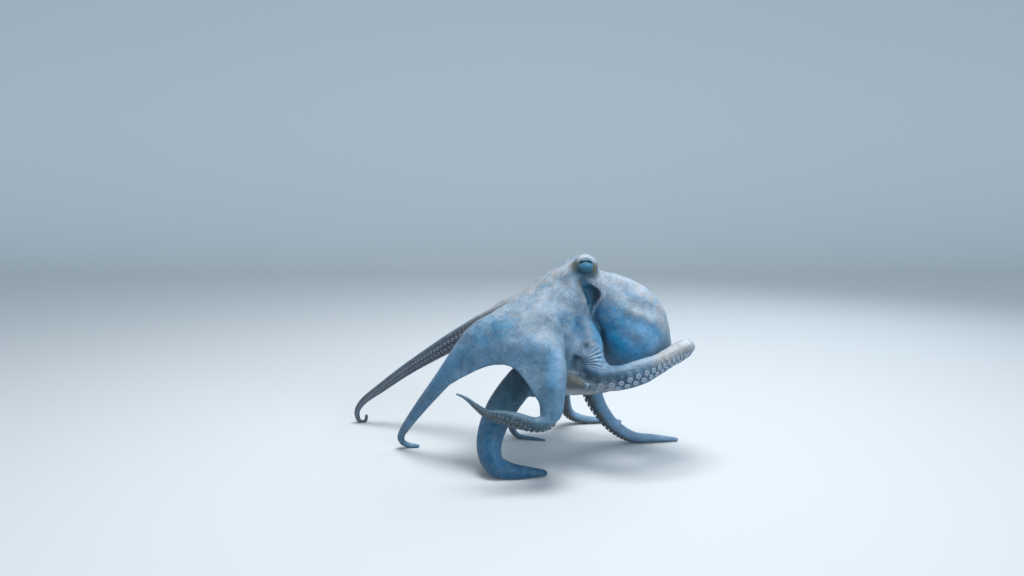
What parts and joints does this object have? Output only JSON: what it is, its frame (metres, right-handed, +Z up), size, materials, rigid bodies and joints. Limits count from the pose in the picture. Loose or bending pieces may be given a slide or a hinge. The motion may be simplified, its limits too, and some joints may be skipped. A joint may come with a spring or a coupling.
{
  "type": "octopus figure",
  "caption": "Life-size still octopus reared up on its arms, with a hanging mantle, webbed arm bases and arms that reach down to the floor.",
  "frame": {"origin": "on the floor, under the middle of the model's bounding box", "axes": "+X from the reaching arm tips towards the mantle, +Y away from the animal's left side, +Z up"},
  "size_m": [0.483, 0.2856, 0.273],
  "materials": {
    "octopus_skin": "wet satin skin, pale grey-blue with tan mottling, dark and pale-ringed on the sucker side",
    "eye_cornea": "wet, clear over a pale blue iris with a dark bar pupil"
  },
  "bodies": {
    "root": {"head": "octopus_skin", "mantle": "octopus_skin", "eye_left": "eye_cornea", "eye_right": "eye_cornea", "arm_right_1_base": "octopus_skin", "arm_right_1_upper": "octopus_skin", "arm_right_1_lower": "octopus_skin", "arm_right_1_tip": "octopus_skin", "arm_left_1_base": "octopus_skin", "arm_left_1_upper": "octopus_skin", "arm_left_1_lower": "octopus_skin", "arm_left_1_tip": "octopus_skin", "arm_left_2_base": "octopus_skin", "arm_left_2_upper": "octopus_skin", "arm_left_2_lower": "octopus_skin", "arm_left_2_tip": "octopus_skin", "arm_left_3_base": "octopus_skin", "arm_left_3_upper": "octopus_skin", "arm_left_3_lower": "octopus_skin", "arm_left_3_tip": "octopus_skin", "arm_left_4_base": "octopus_skin", "arm_left_4_upper": "octopus_skin", "arm_left_4_lower": "octopus_skin", "arm_left_4_tip": "octopus_skin", "arm_right_2_base": "octopus_skin", "arm_right_2_middle": "octopus_skin", "arm_right_2_tip": "octopus_skin", "arm_right_3_base": "octopus_skin", "arm_right_3_middle": "octopus_skin", "arm_right_3_tip": "octopus_skin", "arm_right_4_base": "octopus_skin", "arm_right_4_middle": "octopus_skin", "arm_right_4_tip": "octopus_skin", "web_top": "octopus_skin", "web_left_1": "octopus_skin", "web_left_2": "octopus_skin", "web_left_3": "octopus_skin", "web_under": "octopus_skin", "web_right_1": "octopus_skin", "web_right_2": "octopus_skin", "web_right_3": "octopus_skin"}
  },
  "joints": []
}
